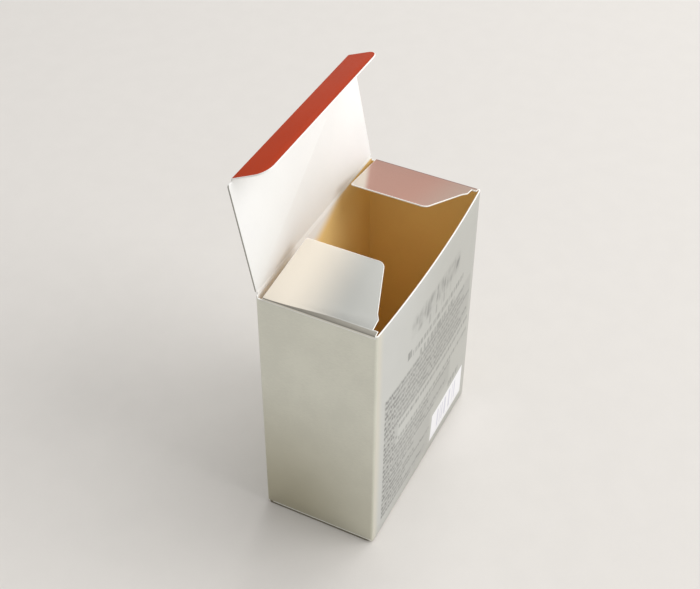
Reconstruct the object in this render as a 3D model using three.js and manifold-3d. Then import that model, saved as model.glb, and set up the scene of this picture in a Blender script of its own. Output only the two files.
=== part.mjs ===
// A small retail folding carton, standing on its closed bottom with its lid open.
// Millimetres, +Z up. The origin is the middle of the box's footprint, on the ground.
// The printed front wall faces -Y, and the lid folds on the back wall, at +Y.

import * as THREE from 'three';
import { mergeVertices } from 'three/addons/utils/BufferGeometryUtils.js';
import Module from 'manifold-3d';

// The box
const boxWidth = 82;
const boxDepth = 42;
const boxHeight = 100;
const boardThickness = 0.5;
const uprightFoldRadius = 1;
const foldGap = 0.3;

// The front wall's free top edge bows outwards. The power sets how soon the bow comes
// above the foot, which the bottom closure keeps straight.
const frontBow = 1.5;
const frontBowPower = 4;

// The glue tab inside the left wall
const glueTabWidth = 12;
const glueTabEndMargin = 5;
const glueTabEndTaper = 3;

// The lid and the closing panel of the bottom
const panelSideInset = 0.3;
const panelCornerRadius = 1;
const lidOpenAngle = 100.8;

// The flaps that tuck in behind the front wall
const tuckDepth = 13;
const tuckSideInset = 2.4;
const tuckSideTaper = 0.8;
const tuckCornerRadius = 5;
const tuckClosedAngle = 76;
const tuckOpenAngle = 104;

// The dust flaps, measured inwards from their folds
const dustLength = 26;
const dustLiftAngle = 15;
const dustShoulderLength = 6;
const dustStepLength = 2;
const dustStepDepth = 1.2;
const dustFrontTaper = 6;
const dustBackInset = 1.6;
const dustBackTaper = 2.4;
const dustFrontCornerRadius = 2.4;
const dustBackCornerRadius = 1;
const tuckLeanRoom = 0.9;

// Facets of a fold's round edge, of a curved corner and of the walls
const foldFacets = 16;
const cornerFacets = 6;
const uprightFoldFacets = 3;
const bowFacetsAcross = 8;
const bowFacetsUp = 4;

// Heights and places that follow from the values above
const halfWidth = boxWidth / 2;
const halfDepth = boxDepth / 2;
const foldRadius = boardThickness / 2;
const wallFoot = boardThickness + foldGap;
const lidFoldHeight = boxHeight + foldGap + foldRadius;
const dustFoldHeight = boxHeight - foldRadius;
const sideWallTop = dustFoldHeight - foldRadius - foldGap;
const backFoldY = halfDepth - foldRadius;
const sideFoldX = halfWidth - foldRadius;
const tuckFoldY = -halfDepth + boardThickness + foldGap + foldRadius;
const panelReach = backFoldY - tuckFoldY;
const panelWidth = boxWidth - 2 * panelSideInset;
const tuckWidth = panelWidth - 2 * tuckSideInset;

const wasm = await Module();
wasm.setup();

function solidFrom(geometry) {
  const plain = geometry.clone();
  plain.deleteAttribute('normal');
  plain.deleteAttribute('uv');
  const merged = mergeVertices(plain, 1e-5);
  return new wasm.Manifold(new wasm.Mesh({
    numProp: 3,
    vertProperties: new Float32Array(merged.attributes.position.array),
    triVerts: new Uint32Array(merged.index.array),
  }));
}

function geometryFrom(solid) {
  const mesh = solid.getMesh();
  const geometry = new THREE.BufferGeometry();
  geometry.setAttribute('position', new THREE.BufferAttribute(mesh.vertProperties, 3));
  geometry.setIndex(new THREE.BufferAttribute(mesh.triVerts, 1));
  geometry.computeVertexNormals();
  return geometry;
}

function boardMaterial(color, roughness, metalness) {
  return new THREE.MeshStandardMaterial({ color, roughness, metalness });
}

// A closed outline through corners [x, y, radius], with each corner rounded
function roundedOutline(corners) {
  const shape = new THREE.Shape();
  const count = corners.length;
  corners.forEach(([x, y, radius], index) => {
    const [fromX, fromY] = corners[(index + count - 1) % count];
    const [toX, toY] = corners[(index + 1) % count];
    const corner = new THREE.Vector2(x, y);
    const back = new THREE.Vector2(fromX, fromY).sub(corner).normalize();
    const ahead = new THREE.Vector2(toX, toY).sub(corner).normalize();
    const halfAngle = Math.acos(back.dot(ahead)) / 2;
    const reach = radius / Math.tan(halfAngle);
    const start = corner.clone().addScaledVector(back, reach);
    const end = corner.clone().addScaledVector(ahead, reach);
    if (index === 0) {
      shape.moveTo(start.x, start.y);
    } else {
      shape.lineTo(start.x, start.y);
    }
    if (radius > 0) {
      shape.quadraticCurveTo(x, y, end.x, end.y);
    }
  });
  shape.closePath();
  return shape;
}

// A plan of the walls, with its front side in short lengths that can bow
function wallOutline(width, depth, radius) {
  const front = [];
  for (let step = 1; step < bowFacetsAcross; step += 1) {
    front.push([-width / 2 + width * step / bowFacetsAcross, -depth / 2, 0]);
  }
  return roundedOutline([
    [-width / 2, -depth / 2, radius],
    ...front,
    [width / 2, -depth / 2, radius],
    [width / 2, depth / 2, radius],
    [-width / 2, depth / 2, radius],
  ]);
}

function bowFrontWall(geometry) {
  const points = geometry.attributes.position;
  for (let index = 0; index < points.count; index += 1) {
    if (points.getY(index) < 0) {
      const across = 1 - (points.getX(index) / halfWidth) ** 2;
      const below = (boxHeight - points.getZ(index)) / (boxHeight - wallFoot);
      const bow = frontBow * across * (1 - below ** frontBowPower);
      points.setY(index, points.getY(index) - bow);
    }
  }
}

function extruded(shape, depth, curveSegments = cornerFacets, steps = 1) {
  return new THREE.ExtrudeGeometry(shape, { depth, steps, curveSegments, bevelEnabled: false });
}

function block(low, high) {
  const size = new THREE.Vector3().subVectors(high, low);
  const geometry = new THREE.BoxGeometry(size.x, size.y, size.z);
  geometry.translate(...new THREE.Vector3().addVectors(low, high).multiplyScalar(0.5).toArray());
  return solidFrom(geometry);
}

// A flat flap that leaves its fold towards -Y. The fold is a round edge on the X axis,
// from foldStart to foldEnd, and the board is centred on the XY plane.
function flapSolid(outline, foldStart, foldEnd) {
  const sheet = extruded(outline, boardThickness);
  sheet.translate(0, 0, -foldRadius);
  const fold = new THREE.CylinderGeometry(foldRadius, foldRadius, foldEnd - foldStart, foldFacets);
  fold.rotateZ(Math.PI / 2);
  fold.translate((foldStart + foldEnd) / 2, 0, 0);
  return solidFrom(sheet).add(solidFrom(fold));
}

// The lid and the bottom panel end just short of the fold of their tuck flap
function panelSolid() {
  const end = -(panelReach - foldRadius - foldGap);
  const outline = roundedOutline([
    [-panelWidth / 2, 0, 0],
    [-panelWidth / 2, end, panelCornerRadius],
    [panelWidth / 2, end, panelCornerRadius],
    [panelWidth / 2, 0, 0],
  ]);
  return flapSolid(outline, -panelWidth / 2, panelWidth / 2);
}

function tuckSolid() {
  const root = tuckWidth / 2;
  const tip = root - tuckSideTaper;
  const outline = roundedOutline([
    [-root, 0, 0],
    [-tip, -tuckDepth, tuckCornerRadius],
    [tip, -tuckDepth, tuckCornerRadius],
    [root, 0, 0],
  ]);
  return flapSolid(outline, -root, root);
}

// The outline of a dust flap. Its front edge steps back from the front wall, so that the
// tuck flap passes between them, and front is the sign of X on which that edge lies.
function dustOutline(front) {
  const foldFront = halfDepth - boardThickness - foldGap;
  const shoulder = foldFront - boardThickness - foldGap - tuckLeanRoom;
  const foldBack = halfDepth - boardThickness - foldGap - dustBackInset;
  const tuckEnd = panelSideInset + tuckSideInset - foldRadius - foldGap;
  const stepEnd = shoulder - dustStepDepth;
  const corners = [
    [foldFront, 0, 0],
    [foldFront, -tuckEnd, 0],
    [shoulder, -tuckEnd, 0],
    [shoulder, -dustShoulderLength, 0],
    [stepEnd, -dustShoulderLength - dustStepLength, 0],
    [stepEnd - dustFrontTaper, -dustLength, dustFrontCornerRadius],
    [-foldBack + dustBackTaper, -dustLength, dustBackCornerRadius],
    [-foldBack, 0, 0],
  ].map(([x, y, radius]) => [front * x, y, radius]);
  return front > 0 ? roundedOutline(corners) : roundedOutline(corners.reverse());
}

function dustSolid(front) {
  const foldFront = front * (halfDepth - boardThickness - foldGap);
  const foldBack = -front * (halfDepth - boardThickness - foldGap - dustBackInset);
  return flapSolid(dustOutline(front), Math.min(foldFront, foldBack), Math.max(foldFront, foldBack));
}

function placed(solid, rotationZ, position) {
  const turn = new THREE.Matrix4().makeRotationZ(rotationZ);
  turn.setPosition(...position);
  return solid.transform(turn.elements);
}

// The four walls, the glue tab that joins them and the two bottom dust flaps are one sheet
function cartonBodySolid() {
  const section = wallOutline(boxWidth, boxDepth, uprightFoldRadius);
  const inside = wallOutline(
    boxWidth - 2 * boardThickness,
    boxDepth - 2 * boardThickness,
    uprightFoldRadius - boardThickness,
  );
  section.holes.push(new THREE.Path(inside.getPoints(uprightFoldFacets).reverse()));
  const walls = extruded(section, boxHeight - wallFoot, uprightFoldFacets, bowFacetsUp);
  walls.translate(0, 0, wallFoot);
  bowFrontWall(walls);
  let body = solidFrom(walls);
  [-1, 1].forEach((side) => {
    const outerX = side * (halfWidth + 1);
    const innerX = side * (halfWidth - uprightFoldRadius);
    const low = new THREE.Vector3(Math.min(outerX, innerX), -halfDepth + boardThickness, sideWallTop);
    const high = new THREE.Vector3(Math.max(outerX, innerX), halfDepth - boardThickness, boxHeight + 1);
    body = body.subtract(block(low, high));
    const bottomFlap = placed(
      dustSolid(side),
      -side * Math.PI / 2,
      [side * sideFoldX, 0, wallFoot + foldRadius],
    );
    body = body.add(bottomFlap);
  });
  return body.add(glueTabSolid());
}

// The tab leaves the back wall and is glued to the inside of the left wall
function glueTabSolid() {
  const low = wallFoot + boardThickness + glueTabEndMargin;
  const high = sideWallTop - glueTabEndMargin;
  const root = halfDepth - foldRadius;
  const tip = halfDepth - boardThickness - glueTabWidth;
  const outline = roundedOutline([
    [root, low, 0],
    [root, high, 0],
    [tip, high - glueTabEndTaper, 0],
    [tip, low + glueTabEndTaper, 0],
  ]);
  const tab = extruded(outline, boardThickness + foldRadius);
  const stand = new THREE.Matrix4().set(
    0, 0, 1, -halfWidth + foldRadius,
    1, 0, 0, 0,
    0, 1, 0, 0,
    0, 0, 0, 1,
  );
  tab.applyMatrix4(stand);
  return solidFrom(tab);
}

function namedMesh(name, solid, material) {
  const mesh = new THREE.Mesh(geometryFrom(solid), material);
  mesh.name = name;
  return mesh;
}

function degrees(angle) {
  return THREE.MathUtils.degToRad(angle);
}

// A tuck flap on the far edge of its panel. Its angle is the one between the two boards.
function tuckGroup(name, material, angle, foldSide) {
  const group = new THREE.Group();
  group.position.set(0, -panelReach, 0);
  group.rotation.x = foldSide * degrees(180 - angle);
  group.add(namedMesh(name, tuckSolid(), material));
  return group;
}

function lidGroup() {
  const group = new THREE.Group();
  group.position.set(0, backFoldY, lidFoldHeight);
  group.rotation.x = -degrees(lidOpenAngle);
  group.add(namedMesh('lid', panelSolid(), boardMaterial(0xfbfaf7, 0.6, 0)));
  group.add(tuckGroup('tuck_flap', boardMaterial(0xb84a30, 0.5, 0), tuckOpenAngle, 1));
  return group;
}

function bottomGroup() {
  const group = new THREE.Group();
  group.position.set(0, backFoldY, foldRadius);
  group.add(namedMesh('bottom_panel', panelSolid(), boardMaterial(0xb9b8b0, 0.4, 0.4)));
  group.add(tuckGroup('bottom_tuck_flap', boardMaterial(0xb9b8b0, 0.4, 0.4), tuckClosedAngle, -1));
  return group;
}

// The left flap folds in towards +X and the right flap towards -X
function dustGroup(name, side, color) {
  const group = new THREE.Group();
  group.position.set(side * sideFoldX, 0, dustFoldHeight);
  group.rotation.z = -side * Math.PI / 2;
  const flap = namedMesh(name, dustSolid(side), boardMaterial(color, 0.35, 0.4));
  flap.rotation.x = -degrees(dustLiftAngle);
  group.add(flap);
  return group;
}

const carton = new THREE.Group();
carton.add(namedMesh('carton_body', cartonBodySolid(), boardMaterial(0xc4c4bf, 0.35, 0.5)));
carton.add(lidGroup());
carton.add(bottomGroup());
carton.add(dustGroup('left_dust_flap', -1, 0xd8d2c4));
carton.add(dustGroup('right_dust_flap', 1, 0xc9a093));

export default carton;
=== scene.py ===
import math

import bmesh
import bpy
from mathutils import Matrix, Vector


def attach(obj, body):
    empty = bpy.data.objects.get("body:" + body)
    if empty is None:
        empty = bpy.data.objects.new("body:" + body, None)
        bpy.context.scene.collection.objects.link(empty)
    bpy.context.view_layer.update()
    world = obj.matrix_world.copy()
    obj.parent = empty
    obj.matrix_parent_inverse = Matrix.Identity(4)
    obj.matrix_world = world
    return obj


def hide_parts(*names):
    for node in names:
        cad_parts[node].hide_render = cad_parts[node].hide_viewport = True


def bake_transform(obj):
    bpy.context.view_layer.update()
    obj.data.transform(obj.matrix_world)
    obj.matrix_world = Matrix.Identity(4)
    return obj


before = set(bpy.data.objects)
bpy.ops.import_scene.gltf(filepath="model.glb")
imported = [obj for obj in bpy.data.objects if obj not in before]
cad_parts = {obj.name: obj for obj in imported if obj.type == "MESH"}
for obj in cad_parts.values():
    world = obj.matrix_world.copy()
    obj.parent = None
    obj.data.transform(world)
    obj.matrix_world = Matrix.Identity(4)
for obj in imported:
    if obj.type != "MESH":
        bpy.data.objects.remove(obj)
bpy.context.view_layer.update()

mm = 0.001

board = {
    "thickness": 0.5 * mm,
    "edgeSoftness": 0.16 * mm,
    "seamFromFold": 0.55 * mm,  # a flap's sheet starts this far before its fold
    "sharpAngle": 50,  # degrees, edges sharper than this are softened
    "smoothAngle": 32,
    "foldSteps": 10,
    "cornerSteps": 8,
    "mergeDistance": 0.001 * mm,
    "sameDistance": 0.002 * mm,
}


# Selecting and shaping

def clearSelection():
    if bpy.context.object and bpy.context.object.mode != "OBJECT":
        bpy.ops.object.mode_set(mode="OBJECT")
    bpy.ops.object.select_all(action="DESELECT")


def pick(kind, test):  # test takes the middle of a vertex, edge or face, and the part itself
    bpy.ops.mesh.select_mode(type=kind)
    bpy.ops.mesh.select_all(action="DESELECT")
    sheet = bmesh.from_edit_mesh(bpy.context.object.data)
    parts = {"VERT": sheet.verts, "EDGE": sheet.edges, "FACE": sheet.faces}[kind]
    for part in parts:
        corners = [part.co] if kind == "VERT" else [vertex.co for vertex in part.verts]
        middle = sum(corners, Vector()) / len(corners)
        if test(middle, part):
            part.select_set(True)
    sheet.select_flush_mode()
    bmesh.update_edit_mesh(bpy.context.object.data)


def near(value, wanted):
    return abs(value - wanted) < board["sameDistance"]


def cut(place, direction):  # a bisect of what is selected
    bpy.ops.mesh.bisect(plane_co=place, plane_no=direction)


def giveMaterials(piece, *materials):  # in threes: outside, inside and cut edge
    piece.data.materials.clear()
    for material in materials:
        piece.data.materials.append(material)


def giveThickness(piece):
    clearSelection()
    bpy.context.view_layer.objects.active = piece
    piece.select_set(True)
    thickness = piece.modifiers.new("thickness", "SOLIDIFY")
    thickness.thickness = board["thickness"]
    thickness.offset = -1
    thickness.use_even_offset = True
    thickness.material_offset = 1
    thickness.material_offset_rim = 2
    softness = piece.modifiers.new("softness", "BEVEL")
    softness.width = board["edgeSoftness"]
    softness.segments = 2
    softness.limit_method = "ANGLE"
    softness.angle_limit = math.radians(board["sharpAngle"])
    softness.material = 2  # the print is worn off along the cut edges
    for name in ("thickness", "softness"):
        bpy.ops.object.modifier_apply(modifier=name)
    bpy.ops.object.shade_smooth_by_angle(angle=math.radians(board["smoothAngle"]))


def faceOut(test):  # turns the sheet over if the face that test finds looks inwards
    bpy.ops.mesh.select_all(action="SELECT")
    bpy.ops.mesh.normals_make_consistent(inside=False)
    sheet = bmesh.from_edit_mesh(bpy.context.object.data)
    if sum(test(face) for face in sheet.faces) < 0:
        bpy.ops.mesh.flip_normals()


# A flap lies flat while it is shaped: its fold is on the X axis, it reaches towards -Y,
# and its outer face looks up. Each station is a distance from the fold and the places
# of the two side edges there, and each corner is a place and a radius. The bend is the
# angle of the fold, and the sheet ends a little way up the wall that it hangs on.

def carryEdge(old, new):
    oldMiddle = (old[1] + old[2]) / 2
    newMiddle = (new[1] + new[2]) / 2
    height = board["thickness"] / 2
    bpy.ops.transform.translate(value=(newMiddle - oldMiddle, old[0] - new[0], 0))
    bpy.ops.transform.resize(
        value=((new[2] - new[1]) / (old[2] - old[1]), 1, 1),
        center_override=(newMiddle, -new[0], height),
    )


def makeFlap(name, shape):
    height = board["thickness"] / 2
    bend = math.radians(shape["bend"])
    radius = shape["foldRadius"]
    start = (radius - height) * math.tan(bend / 2)
    root = shape["root"]
    stations = [(start, *root)] + shape["stations"]

    clearSelection()
    first, second = stations[0], stations[1]
    bpy.ops.mesh.primitive_plane_add(
        size=1, location=((first[1] + first[2]) / 2, -(first[0] + second[0]) / 2, height))
    piece = bpy.context.object
    piece.name = piece.data.name = name
    piece.scale = (first[2] - first[1], second[0] - first[0], 1)
    bpy.ops.object.transform_apply(location=True, rotation=True, scale=True)
    bpy.ops.object.mode_set(mode="EDIT")
    pick("VERT", lambda place, part: near(place.y, -second[0]))
    carryEdge((second[0], *root), second)
    for old, new in zip(stations[1:], stations[2:]):
        pick("EDGE", lambda place, part: all(near(v.co.y, -old[0]) for v in part.verts))
        bpy.ops.mesh.extrude_edges_move()
        carryEdge(old, new)
    for x, y, size in shape["corners"]:
        pick("VERT", lambda place, part: near(place.x, x) and near(place.y, y))
        bpy.ops.mesh.bevel(offset=size, segments=board["cornerSteps"], affect="VERTICES")

    pick("EDGE", lambda place, part: all(near(v.co.y, -start) for v in part.verts))
    bpy.ops.mesh.spin(
        steps=board["foldSteps"], angle=bend, center=(0, -start, height - radius), axis=(1, 0, 0))
    rest = board["seamFromFold"] - start
    bpy.ops.mesh.extrude_edges_move(
        TRANSFORM_OT_translate={"value": (0, rest * math.cos(bend), -rest * math.sin(bend))})
    bpy.ops.mesh.select_all(action="SELECT")
    bpy.ops.mesh.remove_doubles(threshold=board["mergeDistance"])
    faceOut(lambda face: face.normal.z if face.calc_center_median().y < -start else 0)
    bpy.ops.object.mode_set(mode="OBJECT")

    pattern = piece.data.uv_layers[0] if piece.data.uv_layers else piece.data.uv_layers.new()
    pattern.name = "sheet"
    for loop in piece.data.loops:
        place = piece.data.vertices[loop.vertex_index].co
        pattern.data[loop.index].uv = (place.x, place.y)
    return piece


def hangFlap(piece, shape, node, bodies):  # puts a shaped flap on its fold
    giveMaterials(piece, *shape["materials"])
    giveThickness(piece)
    piece.rotation_euler = [math.radians(angle) for angle in shape["turn"]]
    piece.location = shape["fold"]
    bpy.ops.object.transform_apply(location=True, rotation=True, scale=True)
    if len(bodies) > 1:
        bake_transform(piece)
    else:
        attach(piece, bodies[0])
    if node:
        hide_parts(node)


# Materials

def addNode(tree, kind, inputs=None, **settings):
    made = tree.nodes.new(kind)
    for name, value in settings.items():
        setattr(made, name, value)
    for name, value in (inputs or {}).items():
        if isinstance(value, bpy.types.NodeSocket):
            tree.links.new(value, made.inputs[name])
        else:
            made.inputs[name].default_value = value
    return made


def calculate(tree, operation, *values):
    return addNode(tree, "ShaderNodeMath", dict(enumerate(values)), operation=operation).outputs[0]


def product(tree, first, *others):
    for other in others:
        first = calculate(tree, "MULTIPLY", first, other)
    return first


def mixColors(tree, amount, low, high):
    return addNode(tree, "ShaderNodeMix", {0: amount, 6: low, 7: high}, data_type="RGBA").outputs[2]


def ramp(tree, value, low, high, lowResult=0.0, highResult=1.0):
    limits = {"From Min": low, "From Max": high, "To Min": lowResult, "To Max": highResult}
    sockets = {"Value": value, **limits}
    return addNode(tree, "ShaderNodeMapRange", sockets, interpolation_type="SMOOTHSTEP").outputs[0]


def inside(tree, value, low, high, soft):  # 1 between low and high, and low may be a socket
    if isinstance(low, bpy.types.NodeSocket):
        rising = ramp(tree, calculate(tree, "SUBTRACT", value, low), -soft, soft)
    else:
        rising = ramp(tree, value, low - soft, low + soft)
    falling = ramp(tree, value, high - soft, high + soft, 1.0, 0.0)
    return product(tree, rising, falling)


def area(tree, across, up, limits, soft):
    left, right, low, high = limits
    return product(tree, inside(tree, across, left, right, soft), inside(tree, up, low, high, soft))


def lineNoise(tree, across, scale, detail):
    sockets = {"W": across, "Scale": scale, "Detail": detail}
    return addNode(tree, "ShaderNodeTexNoise", sockets, noise_dimensions="1D").outputs[0]


def flatNoise(tree, across, up, scale=1, dimensions="2D"):
    spot = addNode(tree, "ShaderNodeCombineXYZ", {0: across, 1: up})
    sockets = {"Vector": spot.outputs[0], "Scale": scale, "Detail": 1}
    return addNode(tree, "ShaderNodeTexNoise", sockets, noise_dimensions=dimensions).outputs[0]


def patternPlace(tree, source):
    return addNode(tree, "ShaderNodeTexCoord").outputs[source]


def millimetres(tree, source):  # the pattern's place as three numbers in millimetres
    place = addNode(tree, "ShaderNodeSeparateXYZ", {0: patternPlace(tree, source)})
    return [calculate(tree, "MULTIPLY", socket, 1 / mm) for socket in place.outputs]


def linear(red, green, blue):  # a colour as it is seen, to the values that the shader takes
    return [((channel / 255 + 0.055) / 1.055) ** 2.4 for channel in (red, green, blue)] + [1]


grain = {  # fine fibres that lie one way, and a soft unevenness
    "fibreScale": 2200,
    "fibreLength": 3.0,
    "waveScale": 90,
    "waveShare": 3.0,
    "strength": 0.5,
    "tintShare": 0.5,
    "tintRange": (0.35, 0.65),
    "glossRange": (0.3, 0.7),
    "glossChange": 0.04,
}


def paperGrain(tree, shader, place, depth):
    stretch = {"Vector": place, "Scale": (1, 1 / grain["fibreLength"], 1)}
    stretched = addNode(tree, "ShaderNodeMapping", stretch).outputs[0]
    fine = {"Vector": stretched, "Scale": grain["fibreScale"], "Detail": 4, "Roughness": 0.6}
    fibres = addNode(tree, "ShaderNodeTexNoise", fine).outputs[0]
    broad = {"Vector": place, "Scale": grain["waveScale"], "Detail": 2}
    waves = addNode(tree, "ShaderNodeTexNoise", broad).outputs[0]
    height = calculate(tree, "MULTIPLY_ADD", waves, grain["waveShare"], fibres)
    bump = addNode(tree, "ShaderNodeBump", {
        "Height": height, "Strength": grain["strength"], "Distance": depth})
    tree.links.new(bump.outputs[0], shader.inputs["Normal"])
    return fibres, waves


def boardSurface(
        name, color, roughness, metallic=0.0, mottle=0.04, depth=0.02 * mm, source="Object"):
    material = bpy.data.materials.new(name)
    material.use_nodes = True
    tree = material.node_tree
    shader = tree.nodes["Principled BSDF"]
    shader.inputs["Metallic"].default_value = metallic
    fibres, waves = paperGrain(tree, shader, patternPlace(tree, source), depth)
    darker = [channel * (1 - mottle) for channel in color[:3]] + [1]
    lighter = [min(1, channel * (1 + mottle)) for channel in color[:3]] + [1]
    share, change = grain["tintShare"], grain["glossChange"]
    both = calculate(tree, "MULTIPLY_ADD", waves, share, calculate(tree, "MULTIPLY", fibres, share))
    tint = mixColors(tree, ramp(tree, both, *grain["tintRange"]), darker, lighter)
    tree.links.new(tint, shader.inputs["Base Color"])
    gloss = ramp(tree, fibres, *grain["glossRange"], roughness - change, roughness + change)
    tree.links.new(gloss, shader.inputs["Roughness"])
    return material, tree, shader, tint


finishes = {
    "silver": linear(225, 225, 212),
    "silverPaintedShade": linear(182, 177, 154),  # painted shade low on the narrow walls, near the foot
    "front": linear(200, 202, 202),
    "frontFar": linear(178, 179, 176),  # the front wall towards its right edge
    "paintedFoldHighlight": linear(221, 217, 202),  # a painted highlight on the front wall beside its left fold
    "white": linear(251, 251, 249),
    "edge": linear(248, 247, 243),
    "lidEdge": linear(164, 162, 153),
    # painted shade at the foot: the bottom's cut edge, and the inside low on the narrow walls
    "foot": linear(128, 122, 106),
    "red": linear(186, 62, 26),
    # the inside of the box, painted orange-brown as its warm shade
    "paintedInsideShade": linear(255, 221, 150),
    "flapSilver": linear(168, 168, 163),
    # a painted reflection of the white lid on the near dust flap, towards the lid
    "paintedLidReflection": linear(241, 232, 217),
    # painted shade along the folds of the dust flaps, and a painted highlight line beside them
    "paintedCreaseShade": linear(136, 132, 122),
    "paintedCreaseHighlight": linear(236, 232, 218),
    # a painted reflection of the red tuck flap on the far dust flap: greyer towards the front,
    # white near the lid, with painted shade along its fold
    "paintedRedReflection": linear(178, 135, 120),
    "paintedRedReflectionGrey": linear(172, 148, 134),
    "paintedFarLidReflection": linear(209, 198, 184),
    "paintedFarCreaseShade": linear(128, 92, 84),
    "ink": linear(108, 108, 106),
    "label": linear(244, 244, 247),
    "labelBar": linear(214, 213, 224),
}


# The silver outside, with a soft painted shade low on the narrow walls

footShade = {  # millimetres
    "height": 74,
    "frontToBack": (-21, 12),
    "frontShare": 0.45,
    "narrowWall": (40.2, 41),
}


# paints shade low on the narrow walls, darker towards the ground and towards the back
def shadeFoot(tree, shader, tint):
    x, y, z = millimetres(tree, "Object")
    foot = ramp(tree, z, 0, footShade["height"], 1.0, 0.0)
    toBack = ramp(tree, y, *footShade["frontToBack"], footShade["frontShare"], 1.0)
    narrow = ramp(tree, calculate(tree, "ABSOLUTE", x), *footShade["narrowWall"])
    return mixColors(tree, product(tree, foot, toBack, narrow), tint, finishes["silverPaintedShade"])


# The print on the front wall: grey dashes and blots, and a white label with plain bars.
# Places are millimetres from the wall's left edge and from the ground: left, right, low, high.
# A row's pitch is the distance from dash to dash, its fill the part of that with ink, and
# its uneven how quickly the ink gets stronger and fainter along it. A block's ragged is
# how much shorter a row may be, and its fade the part of the ink that is left at its end.

def printedRow(limits, pitch, fill, uneven, strength, soft=0.35, blur=0.18, lean=0.0, blots=None):
    return {
        "limits": limits, "pitch": pitch, "fill": fill, "uneven": uneven, "strength": strength,
        "soft": soft, "blur": blur, "lean": lean, "blots": blots,
    }


def printedBlock(limits, pitch, ragged, fade):
    return {
        "limits": limits, "pitch": pitch, "ragged": ragged, "fade": fade,
        "strength": 0.74, "tone": 0.17,
    }


printing = {
    "left": 41,  # the wall's left edge lies this far from the box's middle
    "rows": [
        printedRow(
            (24.5, 64, 79.6, 87), 6.2, 0.7, 0.22, 0.82, soft=1.9, blur=0.34, lean=0.3, blots=0.2),
        printedRow((37.5, 56, 75, 79), 6.2, 0.55, 0.4, 0.45, soft=0.6),
        printedRow((21.7, 24.5, 71.2, 74.6), 2.8, 0.9, 0.4, 0.75, soft=0.4),
        printedRow((25.5, 69, 70.6, 73), 2.3, 0.7, 0.6, 0.55),
        printedRow((31, 61, 65.7, 68.6), 2.9, 0.6, 0.8, 0.6),
        printedRow((17, 78, 43.6, 45.4), 1.9, 0.78, 0.5, 0.6),
        printedRow((17, 78, 37.6, 39.4), 2.1, 0.72, 0.5, 0.55),
        printedRow((62, 72, 21.8, 24.6), 2.5, 0.7, 0.8, 0.6),
    ],
    "blocks": [
        printedBlock((6.3, 78, 47, 66), 2.4, 12, 0.7),
        printedBlock((6.3, 16.5, 37, 47), 2.3, 3, 0.8),
        printedBlock((6.3, 62, 25.5, 37), 2.4, 24, 0.66),
        printedBlock((6.3, 46, 6, 25.5), 2.3, 26, 0.7),
    ],
    "label": (48, 77.5, 5.4, 19.6),
    "labelSoft": 0.15,
    "bars": [  # middle and width
        (54.2, 1.3), (56.6, 0.7), (58.4, 1.0), (61.2, 1.8), (65.4, 1.6), (68.6, 0.6), (70.6, 1.0)],
    "barHeights": (8.2, 17.4),
    "barSoft": 0.25,
    "metallic": 0.4,  # beside the label
    "farRange": (4, 60),  # the wall grows darker from its left edge to its right
    "silverShare": 0.25,
    # the painted highlight beside the left fold, and how strong it is
    "foldRange": (1, 5),
    "foldShare": 0.8,
}

dashes = {
    "wanderScale": 0.3,  # how often the spacing changes along a row, and by what part of it
    "wanderShare": 0.9,
    "inkRange": (0.3, 0.6),
    "faintest": 0.45,
    "blotRange": (0.36, 0.58),
    "blotFloor": 0.3,
    "waveLength": 0.9,
    "waveStep": 5.3,  # each row of a block reads the noise this much further on
    "patchStep": 3.7,
    "line": (0.2, 0.76, 0.18),  # the part of a row's height that has ink, and its softness
    "endSoft": 0.3,
    "toneSoft": 1.2,
    "fadeLength": 16,  # a block grows fainter over this length
    "patches": [  # size, the noise where ink starts and where it is full, what is left between
        (2.2, 0.28, 0.42, 0.35),
        (0.45, 0.3, 0.6, 0.3),
    ],
}


def dashRow(tree, across, up, row):  # one row of soft dashes
    body = area(tree, across, up, row["limits"], row["soft"])
    leaning = calculate(tree, "MULTIPLY_ADD", up, -row["lean"], across)
    wander = lineNoise(tree, across, dashes["wanderScale"], 0)
    leaning = calculate(tree, "MULTIPLY_ADD", wander, row["pitch"] * dashes["wanderShare"], leaning)
    beat = calculate(tree, "FRACT", calculate(tree, "DIVIDE", leaning, row["pitch"]))
    dash = inside(tree, beat, 0.5 - row["fill"] / 2, 0.5 + row["fill"] / 2, row["blur"])
    uneven = lineNoise(tree, across, row["uneven"], 1)
    faint = row["strength"] * dashes["faintest"]
    level = ramp(tree, uneven, *dashes["inkRange"], faint, row["strength"])
    if row["blots"]:  # the strokes are broken up along their height too
        blots = flatNoise(tree, across, up, row["blots"], "3D")
        blotted = ramp(tree, blots, *dashes["blotRange"], dashes["blotFloor"], 1.0)
        level = product(tree, level, blotted)
    return product(tree, body, dash, level)


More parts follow.
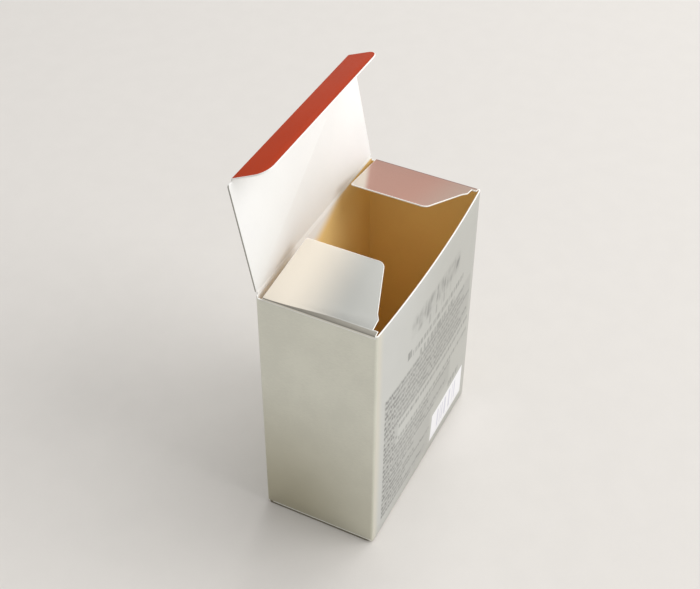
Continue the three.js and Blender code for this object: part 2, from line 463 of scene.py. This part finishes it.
def dashBlock(tree, across, up, block):  # close wavy rows, each of its own length
    left, right, low, high = block["limits"]
    rows = calculate(tree, "DIVIDE", calculate(tree, "SUBTRACT", up, low), block["pitch"])
    row = calculate(tree, "FLOOR", rows)
    along = calculate(tree, "DIVIDE", across, dashes["waveLength"])
    waves = flatNoise(tree, along, calculate(tree, "MULTIPLY", row, dashes["waveStep"]))
    shift = calculate(tree, "MULTIPLY_ADD", waves, 1.0, -0.5)
    height = calculate(tree, "ADD", calculate(tree, "FRACT", rows), shift)
    line = inside(tree, height, *dashes["line"])
    lengths = addNode(tree, "ShaderNodeTexWhiteNoise", {"W": row}, noise_dimensions="1D")
    shortening = calculate(tree, "MULTIPLY", lengths.outputs["Value"], block["ragged"])
    end = calculate(tree, "SUBTRACT", calculate(tree, "SUBTRACT", right, shortening), across)
    soft = dashes["endSoft"]
    whole = area(tree, across, up, block["limits"], soft)
    level = product(tree, line, whole, ramp(tree, end, -soft, soft))
    for size, start, full, between in dashes["patches"]:
        along = calculate(tree, "DIVIDE", across, size)
        noise = flatNoise(tree, along, calculate(tree, "MULTIPLY", row, dashes["patchStep"]))
        level = product(tree, level, ramp(tree, noise, start, full, between, 1.0))
    faint = block["strength"] * block["fade"]
    strength = ramp(tree, across, left, left + dashes["fadeLength"], block["strength"], faint)
    tone = product(tree, area(tree, across, up, block["limits"], dashes["toneSoft"]), block["tone"])
    return calculate(tree, "ADD", product(tree, level, strength), tone)


def printFront(tree, shader, tint):
    x, _, z = millimetres(tree, "Object")
    across = calculate(tree, "ADD", x, printing["left"])
    toRight = ramp(tree, across, *printing["farRange"])
    uneven = mixColors(tree, toRight, finishes["front"], finishes["frontFar"])
    tint = mixColors(tree, printing["silverShare"], uneven, tint)
    # a painted highlight beside the left fold
    besideFold = ramp(tree, across, *printing["foldRange"], printing["foldShare"], 0.0)
    tint = mixColors(tree, besideFold, tint, finishes["paintedFoldHighlight"])
    ink, *marks = [dashRow(tree, across, z, row) for row in printing["rows"]] + [
        dashBlock(tree, across, z, block) for block in printing["blocks"]]
    for mark in marks:
        ink = calculate(tree, "MAXIMUM", ink, mark)
    tint = mixColors(tree, ink, tint, finishes["ink"])
    label = area(tree, across, z, printing["label"], printing["labelSoft"])
    bars = None
    for middle, width in printing["bars"]:
        limits = (middle - width / 2, middle + width / 2, *printing["barHeights"])
        bar = area(tree, across, z, limits, printing["barSoft"])
        bars = calculate(tree, "ADD", bars, bar) if bars else bar
    paper = mixColors(tree, bars, finishes["label"], finishes["labelBar"])
    tint = mixColors(tree, label, tint, paper)
    tree.links.new(ramp(tree, label, 0, 1, printing["metallic"], 0.0), shader.inputs["Metallic"])
    return tint


def makeSilver(name, source="Object", dress=None):
    material, tree, shader, tint = boardSurface(
        name, finishes["silver"], 0.36, metallic=0.4, source=source)
    if dress:
        tree.links.new(dress(tree, shader, tint), shader.inputs["Base Color"])
    return material


# White inner faces, cut edges and the red tuck flap

def makeLidEdge():  # the lid's cut edge is grey along its left side
    material, tree, shader, tint = boardSurface(
        "lid_edge", finishes["edge"], 0.8, mottle=0.05, source="UV")
    x = millimetres(tree, "UV")[0]
    leftEdge = ramp(tree, x, -40.5, -40.2, 1.0, 0.0)
    color = mixColors(tree, leftEdge, tint, finishes["lidEdge"])
    tree.links.new(color, shader.inputs["Base Color"])
    return material


def makeRed():
    material, _, shader, _ = boardSurface(
        "red_sheet", finishes["red"], 0.5, mottle=0.03, source="UV")
    shader.inputs["Specular IOR Level"].default_value = 0.12
    return material


# The inside, painted orange-brown as its shade, with painted light high on the back wall at the
# left and painted shade at the foot of the narrow walls

paintedInsideLightAndShade = {  # millimetres
    "leftToRight": (-16, 32),
    "extraDepth": 13,  # the painted light reaches this much lower at the left
    "paintedLightHeight": (99.5, 107),
    "backWall": (19, 20),
    "narrowWall": (40, 40.3),
    "footHeight": (0.7, 1.1),
}


def makePaintedInside():
    material, tree, shader, tint = boardSurface("paintedInsideShade", finishes["paintedInsideShade"], 0.62, mottle=0.02)
    x, y, z = millimetres(tree, "Object")
    depth = ramp(tree, x, *paintedInsideLightAndShade["leftToRight"], paintedInsideLightAndShade["extraDepth"], 0)
    # a painted pool of light high on the back wall, reaching lower at the left
    high = ramp(tree, calculate(tree, "ADD", z, depth), *paintedInsideLightAndShade["paintedLightHeight"])
    paintedLight = product(tree, high, ramp(tree, y, *paintedInsideLightAndShade["backWall"]))
    tint = mixColors(tree, paintedLight, tint, finishes["white"])
    # painted shade at the foot of the narrow walls
    outer = ramp(tree, calculate(tree, "ABSOLUTE", x), *paintedInsideLightAndShade["narrowWall"])
    low = product(tree, outer, ramp(tree, z, *paintedInsideLightAndShade["footHeight"], 1.0, 0.0))
    tint = mixColors(tree, low, tint, finishes["foot"])
    tree.links.new(tint, shader.inputs["Base Color"])
    return material


# The outside of the top dust flaps. The pattern's first number runs along the fold, and
# its second one away from the fold, negative towards the free end.

paintedFlapLight = {  # millimetres
    "light": (0.14, 0.34, 0.06),  # the painted highlight line beside the fold, and its softness
    "nearChange": (-9, 13),
    "nearNarrowing": (-8, 18),
    "nearCrease": -1.7,  # how far the painted crease shade reaches at the front, and the part of that at the back
    "nearRest": 0.1,
    "farChange": (2, 19),
    "farCorner": 21,
    "farCornerSlant": 0.4,
    "farCornerSoft": 1.2,
    "farCrease": (-0.7, -0.1, 0.12),
}


def finishFlap(name, paint):
    material, tree, shader, _ = boardSurface(
        name, finishes["silver"], 0.4, metallic=0.2, source="UV")
    x, y = millimetres(tree, "UV")[:2]
    color, paintedCreaseShade, paintedCreaseShadeColor = paint(tree, x, y)
    # painted shade along the crease, then a painted highlight line beside the fold
    color = mixColors(tree, paintedCreaseShade, color, paintedCreaseShadeColor)
    color = mixColors(tree, inside(tree, y, *paintedFlapLight["light"]), color, finishes["paintedCreaseHighlight"])
    tree.links.new(color, shader.inputs["Base Color"])
    return material


# a painted reflection of the white lid towards the back, and painted shade along the crease
def paintNearFlap(tree, x, y):
    toBack = ramp(tree, x, *paintedFlapLight["nearChange"])
    color = mixColors(tree, toBack, finishes["flapSilver"], finishes["paintedLidReflection"])
    width = ramp(tree, x, *paintedFlapLight["nearNarrowing"], 1.0, paintedFlapLight["nearRest"])
    paintedCreaseShade = inside(tree, y, calculate(tree, "MULTIPLY", width, paintedFlapLight["nearCrease"]), 0.12, 0.1)
    return color, paintedCreaseShade, finishes["paintedCreaseShade"]


# a painted reflection of the red tuck flap, white near the lid, and painted shade along the crease
def paintFarFlap(tree, x, y):
    toFront = ramp(tree, x, *paintedFlapLight["farChange"])
    paintedRedReflection = mixColors(tree, toFront, finishes["paintedRedReflection"], finishes["paintedRedReflectionGrey"])
    corner = calculate(tree, "MULTIPLY_ADD", y, paintedFlapLight["farCornerSlant"], paintedFlapLight["farCorner"])
    corner = calculate(tree, "SUBTRACT", calculate(tree, "MULTIPLY", x, -1), corner)
    soft = paintedFlapLight["farCornerSoft"]
    color = mixColors(tree, ramp(tree, corner, -soft, soft), paintedRedReflection, finishes["paintedFarLidReflection"])
    return color, inside(tree, y, *paintedFlapLight["farCrease"]), finishes["paintedFarCreaseShade"]


silverBoard = makeSilver("silver_board", dress=shadeFoot)
silverSheet = makeSilver("silver_sheet", source="UV")
# the bottom's cut edge, painted dark as its contact shadow
footShadowEdge, *_ = boardSurface("foot_shadow_edge", finishes["foot"], 0.7)
printedBoard = makeSilver("printed_board", dress=printFront)
whiteSheet, *_ = boardSurface("white_sheet", finishes["white"], 0.62, mottle=0.012, source="UV")
cutPaper, *_ = boardSurface("cut_paper", finishes["edge"], 0.8, mottle=0.05, depth=0.04 * mm)
lidEdge = makeLidEdge()
redSheet = makeRed()
paintedInsideShade = makePaintedInside()
nearFlapSheet = finishFlap("near_flap_painted_light", paintNearFlap)
farFlapSheet = finishFlap("far_flap_painted_light", paintFarFlap)
print("materials made")


# The four walls, one sheet round the box

walls = {
    "width": 82 * mm,
    "depth": 42 * mm,
    "foot": 0.8 * mm,
    "top": 100 * mm,
    "cornerRadius": 1 * mm,
    "cornerSteps": 6,
    "sideTop": 99.2 * mm,  # the narrow walls end short of the folds of their dust flaps
    "sideFoot": 1.6 * mm,
    "sideEnd": 20.2 * mm,
    "bow": 1.5 * mm,
    "bowPower": 4,
    "columns": 20,
    "rows": 12,
}


def cutWalls(height):  # rows all round, columns on the front wall, and the narrow walls' openings
    for row in range(1, walls["rows"]):
        bpy.ops.mesh.select_all(action="SELECT")
        cut((0, 0, walls["foot"] + height * row / walls["rows"]), (0, 0, 1))
    for column in range(1, walls["columns"]):
        pick("FACE", lambda place, part: part.normal.y < -0.99)
        cut((walls["width"] * (column / walls["columns"] - 0.5), 0, 0), (1, 0, 0))
    cornerStart = walls["width"] / 2 - walls["cornerRadius"]
    for place, direction in (
            ((0, walls["sideEnd"], 0), (0, 1, 0)), ((0, -walls["sideEnd"], 0), (0, 1, 0)),
            ((0, 0, walls["sideTop"]), (0, 0, 1)), ((0, 0, walls["sideFoot"]), (0, 0, 1))):
        pick("FACE", lambda middle, part: abs(middle.x) > cornerStart)
        cut(place, direction)
    innerFace = walls["width"] / 2 - board["thickness"]
    pick("FACE", lambda place, part: (
        abs(place.y) < walls["sideEnd"] and abs(place.x) > innerFace
        and not walls["sideFoot"] < place.z < walls["sideTop"]))
    bpy.ops.mesh.delete(type="FACE")


def bowFront(piece, height):  # the front wall's free edge bows outwards
    for vertex in piece.data.vertices:
        if vertex.co.y < 0:
            across = 1 - (2 * vertex.co.x / walls["width"]) ** 2
            below = (walls["top"] - vertex.co.z) / height
            vertex.co.y -= walls["bow"] * across * (1 - below ** walls["bowPower"])


def makeWalls():
    clearSelection()
    height = walls["top"] - walls["foot"]
    bpy.ops.mesh.primitive_cube_add(size=1, location=(0, 0, walls["foot"] + height / 2))
    piece = bpy.context.object
    piece.name = piece.data.name = "carton_walls"
    piece.scale = (walls["width"], walls["depth"], height)
    bpy.ops.object.transform_apply(location=True, rotation=True, scale=True)
    bpy.ops.object.mode_set(mode="EDIT")
    pick("FACE", lambda place, part: abs(part.normal.z) > 0.9)
    bpy.ops.mesh.delete(type="FACE")
    pick("EDGE", lambda place, part: abs(part.verts[0].co.z - part.verts[1].co.z) > height / 2)
    bpy.ops.mesh.bevel(offset=walls["cornerRadius"], segments=walls["cornerSteps"], affect="EDGES")
    cutWalls(height)
    bpy.ops.mesh.select_all(action="SELECT")
    bpy.ops.mesh.remove_doubles(threshold=board["mergeDistance"])
    faceOut(lambda face: face.normal.dot(face.calc_center_median() * Vector((1, 1, 0))))
    bpy.ops.object.mode_set(mode="OBJECT")
    bowFront(piece, height)
    plain = (silverBoard, paintedInsideShade, cutPaper)
    printed = (printedBoard, paintedInsideShade, cutPaper)
    giveMaterials(piece, *plain, *printed)
    for face in piece.data.polygons:
        if face.normal.y < -0.9:
            face.material_index = len(plain)
    giveThickness(piece)
    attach(piece, "carton")
    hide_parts("carton_body")


glueTab = {  # lies against the inside of the left wall
    "outside": -40.48 * mm,
    "root": 20.1 * mm,
    "tip": 8.5 * mm,
    "low": 6.3 * mm,
    "high": 94.2 * mm,
    "taper": 3 * mm,
}


def makeGlueTab():
    clearSelection()
    outside, root, tip = glueTab["outside"], glueTab["root"], glueTab["tip"]
    height = glueTab["high"] - glueTab["low"]
    middle = (glueTab["low"] + glueTab["high"]) / 2
    bpy.ops.mesh.primitive_plane_add(
        size=1, location=(outside, (root + tip) / 2, middle), rotation=(0, math.radians(-90), 0))
    piece = bpy.context.object
    piece.name = piece.data.name = "glue_tab"
    piece.scale = (height, root - tip, 1)
    bpy.ops.object.transform_apply(location=True, rotation=True, scale=True)
    bpy.ops.object.mode_set(mode="EDIT")
    pick("VERT", lambda place, part: near(place.y, tip))
    narrowing = 1 - 2 * glueTab["taper"] / height
    bpy.ops.transform.resize(value=(1, 1, narrowing), center_override=(outside, tip, middle))
    faceOut(lambda face: -face.normal.x)
    bpy.ops.object.mode_set(mode="OBJECT")
    giveMaterials(piece, paintedInsideShade, paintedInsideShade, cutPaper)
    giveThickness(piece)
    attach(piece, "carton")


makeWalls()
makeGlueTab()
print("walls made")


# The lid and its tuck flap. The bottom and its tuck flap have the same outlines.

panelOutline = {
    "root": (-40 * mm, 40 * mm),
    "stations": [(0.9 * mm, -40.7 * mm, 40.7 * mm), (40.15 * mm, -40.7 * mm, 40.7 * mm)],
    "corners": [(-40.7 * mm, -40.15 * mm, 1 * mm), (40.7 * mm, -40.15 * mm, 1 * mm)],
}

tuckOutline = {
    "root": (-38.3 * mm, 38.3 * mm),
    "stations": [(8 * mm, -37.8 * mm, 37.8 * mm), (13 * mm, -37.5 * mm, 37.5 * mm)],
    "corners": [(-37.5 * mm, -13 * mm, 4.6 * mm), (37.5 * mm, -13 * mm, 4.6 * mm)],
}

lidShape = {  # leans back past the wall, so its fold turns the other way
    **panelOutline,
    "foldRadius": -5.04 * mm,
    "bend": -10.8,
    "bendReach": 0.5 * mm,
    "turn": (-100.8, 0, 0),
    "fold": (0, 20.75 * mm, 100.55 * mm),
    "materials": (silverSheet, whiteSheet, lidEdge),
}

tuckShape = {
    **tuckOutline,
    "foldRadius": 0.7 * mm,
    "bend": 76,
    "bendReach": 0.35 * mm,
    "turn": (-24.8, 0, 0),
    "fold": (0, 28.37641 * mm, 140.52908 * mm),
    "materials": (redSheet, whiteSheet, cutPaper),
}

lid = makeFlap("lid_panel", lidShape)
hangFlap(lid, lidShape, "lid", ("carton", "lid"))
tuck = makeFlap("tuck_sheet", tuckShape)
hangFlap(tuck, tuckShape, "tuck_flap", ("lid", "tuck_flap"))
print("lid made")


# The dust flaps. Their front edge steps in beside the fold, and their back edge slants.

dustShape = {  # millimetres, and for the front edge the distance from the fold and the place
    "frontEdge": [(0, 20.2), (2.13, 20.2), (2.15, 18.5), (6, 18.5), (8, 17.3), (26, 11.3)],
    "backEdge": (18.6, 16.2),
    "frontCorner": 1.8,
    "backCorner": 0.9,
    "foldPlace": 40.75,
    "topFold": 99.75,
    "bottomFold": 1.05,
    "lift": 15,  # degrees above level
}


def makeDustFlap(name, front, hanging):  # front is the sign of X on which the front edge lies
    length, frontEnd = dustShape["frontEdge"][-1]
    back, backEnd = dustShape["backEdge"]
    slope = (back - backEnd) / length
    stations = []
    for distance, place in dustShape["frontEdge"]:
        ends = sorted((front * place * mm, -front * (back - slope * distance) * mm))
        stations.append((distance * mm, *ends))
    shape = {
        "root": stations[0][1:],
        "stations": stations[1:],
        "corners": [
            (front * frontEnd * mm, -length * mm, dustShape["frontCorner"] * mm),
            (-front * backEnd * mm, -length * mm, dustShape["backCorner"] * mm),
        ],
        "foldRadius": 0.7 * mm,
        "bendReach": 0.35 * mm,
        **hanging,
    }
    return makeFlap(name, shape), shape


for side, word, outerSheet in ((-1, "left", nearFlapSheet), (1, "right", farFlapSheet)):
    flap, shape = makeDustFlap(word + "_dust_sheet", side, {
        "bend": 90 - dustShape["lift"],
        "turn": (-dustShape["lift"], 0, -side * 90),
        "fold": (side * dustShape["foldPlace"] * mm, 0, dustShape["topFold"] * mm),
        "materials": (outerSheet, whiteSheet, cutPaper),
    })
    hangFlap(flap, shape, word + "_dust_flap", ("carton", word + "_dust_flap"))
    flap, shape = makeDustFlap(word + "_bottom_dust_sheet", -side, {
        "bend": 90,
        "turn": (0, 180, -side * 90),
        "fold": (side * dustShape["foldPlace"] * mm, 0, dustShape["bottomFold"] * mm),
        "materials": (silverSheet, paintedInsideShade, cutPaper),
    })
    hangFlap(flap, shape, None, ("carton",))
print("dust flaps made")


# The bottom and its tuck flap

bottomShape = {
    **panelOutline,
    "foldRadius": 0.6 * mm,
    "bend": 90,
    "bendReach": 0.35 * mm,
    "turn": (0, 180, 0),
    "fold": (0, 20.75 * mm, 0.25 * mm),
    "materials": (silverSheet, paintedInsideShade, footShadowEdge),
}

bottomTuckShape = {
    **tuckOutline,
    "foldRadius": 0.45 * mm,
    "bend": 104,
    "bendReach": 0.35 * mm,
    "turn": (104, 180, 0),
    "fold": (0, -19.95 * mm, 0.25 * mm),
    "materials": (silverSheet, paintedInsideShade, cutPaper),
}

bottom = makeFlap("bottom_sheet", bottomShape)
hangFlap(bottom, bottomShape, "bottom_panel", ("carton", "bottom_panel"))
bottomTuck = makeFlap("bottom_tuck_sheet", bottomTuckShape)
hangFlap(
    bottomTuck, bottomTuckShape, "bottom_tuck_flap",
    ("bottom_panel", "bottom_tuck_flap"))
print("bottom made")


# Floor, light and camera

studio = {
    "floorSize": 6.0,
    "floorColor": linear(219, 215, 210),
    "worldStrength": 0.52,
    "lampAim": (0, 0, 0.05),
    "lamps": {
        "front": {"place": (0.375, -1.38, 1.25), "size": 1.35, "power": 18.9},
        "side": {"place": (0.9, -0.15, 1.55), "size": 1.2, "power": 12.2},
    },
}


def makeFloor():
    clearSelection()
    bpy.ops.mesh.primitive_plane_add(size=studio["floorSize"])
    floor = bpy.context.object
    floor.name = "floor"
    material, *_ = boardSurface("floor", studio["floorColor"], 0.9, mottle=0.01, depth=0.01 * mm)
    floor.data.materials.append(material)


def makeLights():
    world = bpy.data.worlds.new("studio")
    bpy.context.scene.world = world
    world.use_nodes = True
    background = world.node_tree.nodes["Background"]
    background.inputs["Color"].default_value = (1, 1, 1, 1)
    background.inputs["Strength"].default_value = studio["worldStrength"]
    for name, lamp in studio["lamps"].items():
        light = bpy.data.lights.new(name, "AREA")
        light.size = lamp["size"]
        light.energy = lamp["power"]
        holder = bpy.data.objects.new(name, light)
        holder.location = lamp["place"]
        away = Vector(lamp["place"]) - Vector(studio["lampAim"])
        holder.rotation_euler = away.to_track_quat("Z", "Y").to_euler()
        bpy.context.scene.collection.objects.link(holder)


cameraView = {  # fitted to the photo, angles in degrees
    "place": (-0.29179, -0.13545, 0.36489),
    "azimuth": -63.747,
    "elevation": 41.921,
    "roll": 0.298,
    "lens": 65.78,
}


def makeCamera():
    lens = bpy.data.cameras.new("camera")
    lens.lens = cameraView["lens"]
    lens.clip_start = 0.01
    camera = bpy.data.objects.new("camera", lens)
    camera.location = cameraView["place"]
    turn = Matrix.Rotation(math.radians(cameraView["azimuth"]), 3, "Z")
    turn @= Matrix.Rotation(math.radians(90 - cameraView["elevation"]), 3, "X")
    turn @= Matrix.Rotation(math.radians(cameraView["roll"]), 3, "Z")
    camera.rotation_euler = turn.to_euler()
    bpy.context.scene.collection.objects.link(camera)
    bpy.context.scene.camera = camera


makeFloor()
makeLights()
makeCamera()
bpy.context.scene.view_settings.view_transform = "Standard"
print("studio made")
